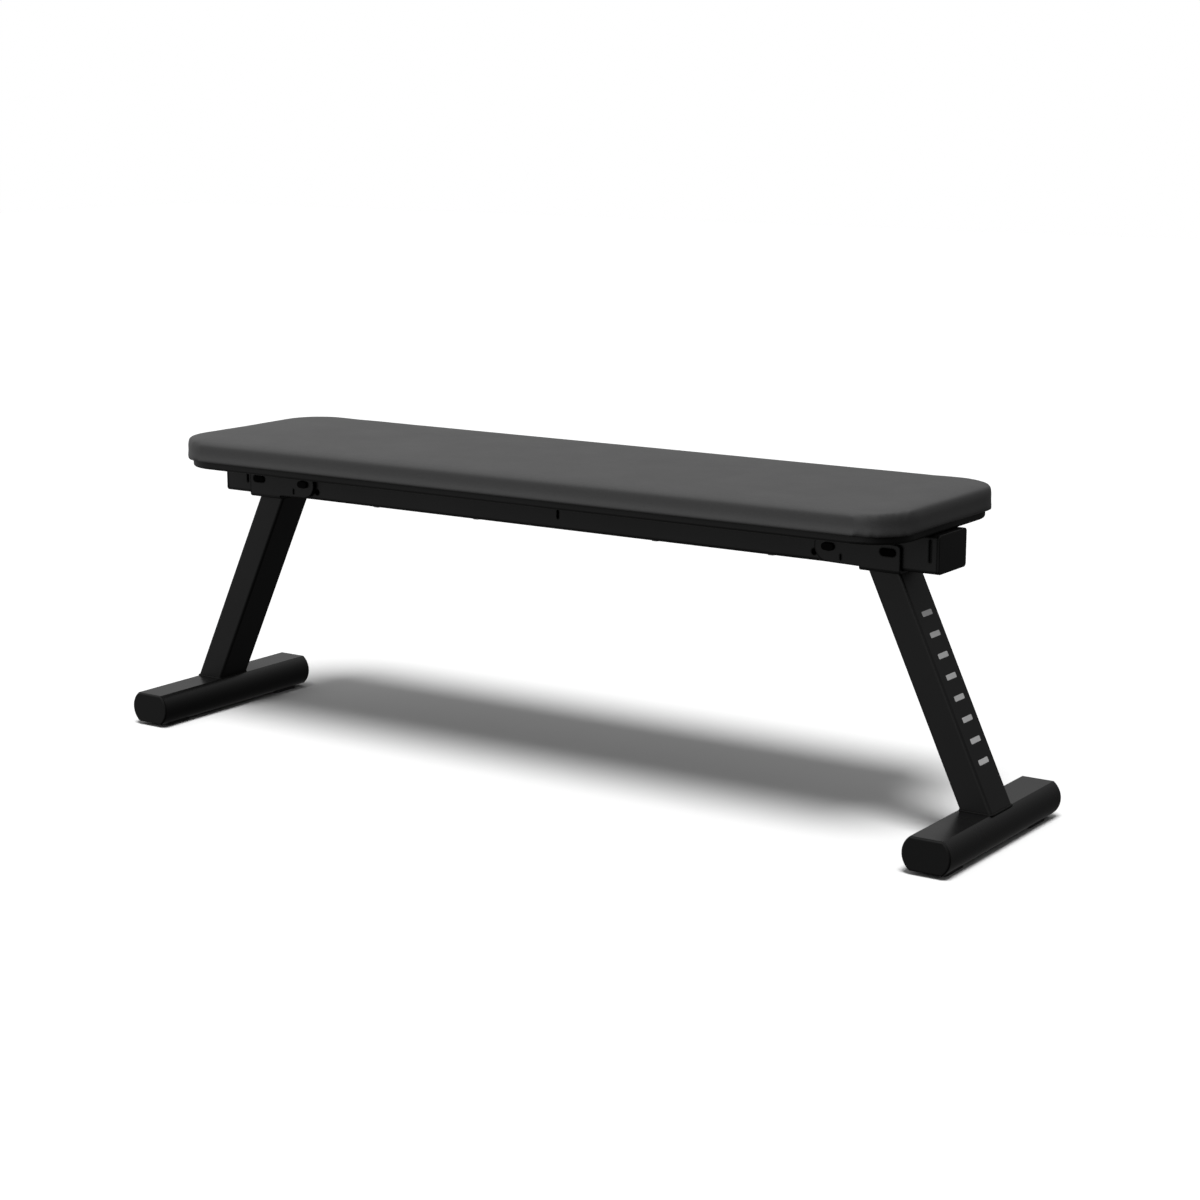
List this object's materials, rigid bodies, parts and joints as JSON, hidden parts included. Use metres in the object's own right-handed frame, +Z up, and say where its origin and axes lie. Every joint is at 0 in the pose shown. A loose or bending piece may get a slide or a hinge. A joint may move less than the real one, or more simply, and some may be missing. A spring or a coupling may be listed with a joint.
{
  "type": "flat weight bench",
  "caption": "Flat padded exercise bench on a box-section spine, with splayed legs that fold inwards under it once sprung lock buttons are pressed.",
  "frame": {"origin": "on the floor, under the middle of the bench", "axes": "+X along the bench, +Y across it, +Z up"},
  "size_m": [1.3524, 0.326, 0.442],
  "materials": {
    "vinyl": "smooth satin vinyl",
    "foam": "open-cell foam",
    "plywood": "sanded plywood",
    "panel": "satin",
    "frame_paint": "satin powder coat",
    "cap_plastic": "moulded",
    "zinc_steel": "zinc plated",
    "black_steel": "black oxide",
    "guide_plastic": "moulded",
    "button_plastic": "moulded",
    "spring_steel": "bright wire",
    "rubber": "matt",
    "nylon": "natural"
  },
  "bodies": {
    "frame": {"pad_cover": "vinyl", "pad_foam": "foam", "pad_ply": "plywood", "base_panel": "panel", "pad_inserts": "zinc_steel", "pad_bolts": "zinc_steel", "pad_washers": "zinc_steel", "panel_screws": "zinc_steel", "spine_tube": "frame_paint", "spine_cap_left": "cap_plastic", "spine_cap_right": "cap_plastic", "pivot_sleeve_left": "zinc_steel", "pivot_sleeve_right": "zinc_steel", "lock_guide_left": "guide_plastic", "lock_guide_right": "guide_plastic", "lock_spring_left": "spring_steel", "lock_spring_right": "spring_steel"},
    "left_leg": {"bracket_left": "frame_paint", "leg_tube_left": "frame_paint", "foot_bar_left": "frame_paint", "foot_cap_near_left": "cap_plastic", "foot_cap_far_left": "cap_plastic", "foot_pad_near_left": "rubber", "foot_pad_far_left": "rubber", "foot_screws_left": "zinc_steel", "pivot_bolt_left": "black_steel", "nylon_washers_left": "nylon", "pivot_washer_left": "zinc_steel", "pivot_nut_left": "zinc_steel"},
    "right_leg": {"bracket_right": "frame_paint", "leg_tube_right": "frame_paint", "foot_bar_right": "frame_paint", "foot_cap_near_right": "cap_plastic", "foot_cap_far_right": "cap_plastic", "foot_pad_near_right": "rubber", "foot_pad_far_right": "rubber", "foot_screws_right": "zinc_steel", "pivot_bolt_right": "black_steel", "nylon_washers_right": "nylon", "pivot_washer_right": "zinc_steel", "pivot_nut_right": "zinc_steel"},
    "left_button_near": {"lock_button_near_left": "button_plastic"},
    "left_button_far": {"lock_button_far_left": "button_plastic"},
    "right_button_near": {"lock_button_near_right": "button_plastic"},
    "right_button_far": {"lock_button_far_right": "button_plastic"}
  },
  "joints": [
    {"name": "left_leg_fold", "type": "hinge", "parent": "frame", "child": "left_leg", "pos_m": [-0.4355, 0, 0.368], "axis": [0, -1, 0], "range_deg": [0, 113]},
    {"name": "right_leg_fold", "type": "hinge", "parent": "frame", "child": "right_leg", "pos_m": [0.4355, 0, 0.368], "axis": [0, 1, 0], "range_deg": [0, 113]},
    {"name": "left_button_near_press", "type": "slide", "parent": "frame", "child": "left_button_near", "axis": [0, 1, 0], "range_m": [0, 0.007], "stiffness_N_per_m": 1200, "springref_m": -0.004, "deforming": ["lock_spring_left"]},
    {"name": "left_button_far_press", "type": "slide", "parent": "frame", "child": "left_button_far", "axis": [0, -1, 0], "range_m": [0, 0.007], "stiffness_N_per_m": 1200, "springref_m": -0.004, "deforming": ["lock_spring_left"]},
    {"name": "right_button_near_press", "type": "slide", "parent": "frame", "child": "right_button_near", "axis": [0, 1, 0], "range_m": [0, 0.007], "stiffness_N_per_m": 1200, "springref_m": -0.004, "deforming": ["lock_spring_right"]},
    {"name": "right_button_far_press", "type": "slide", "parent": "frame", "child": "right_button_far", "axis": [0, -1, 0], "range_m": [0, 0.007], "stiffness_N_per_m": 1200, "springref_m": -0.004, "deforming": ["lock_spring_right"]}
  ]
}
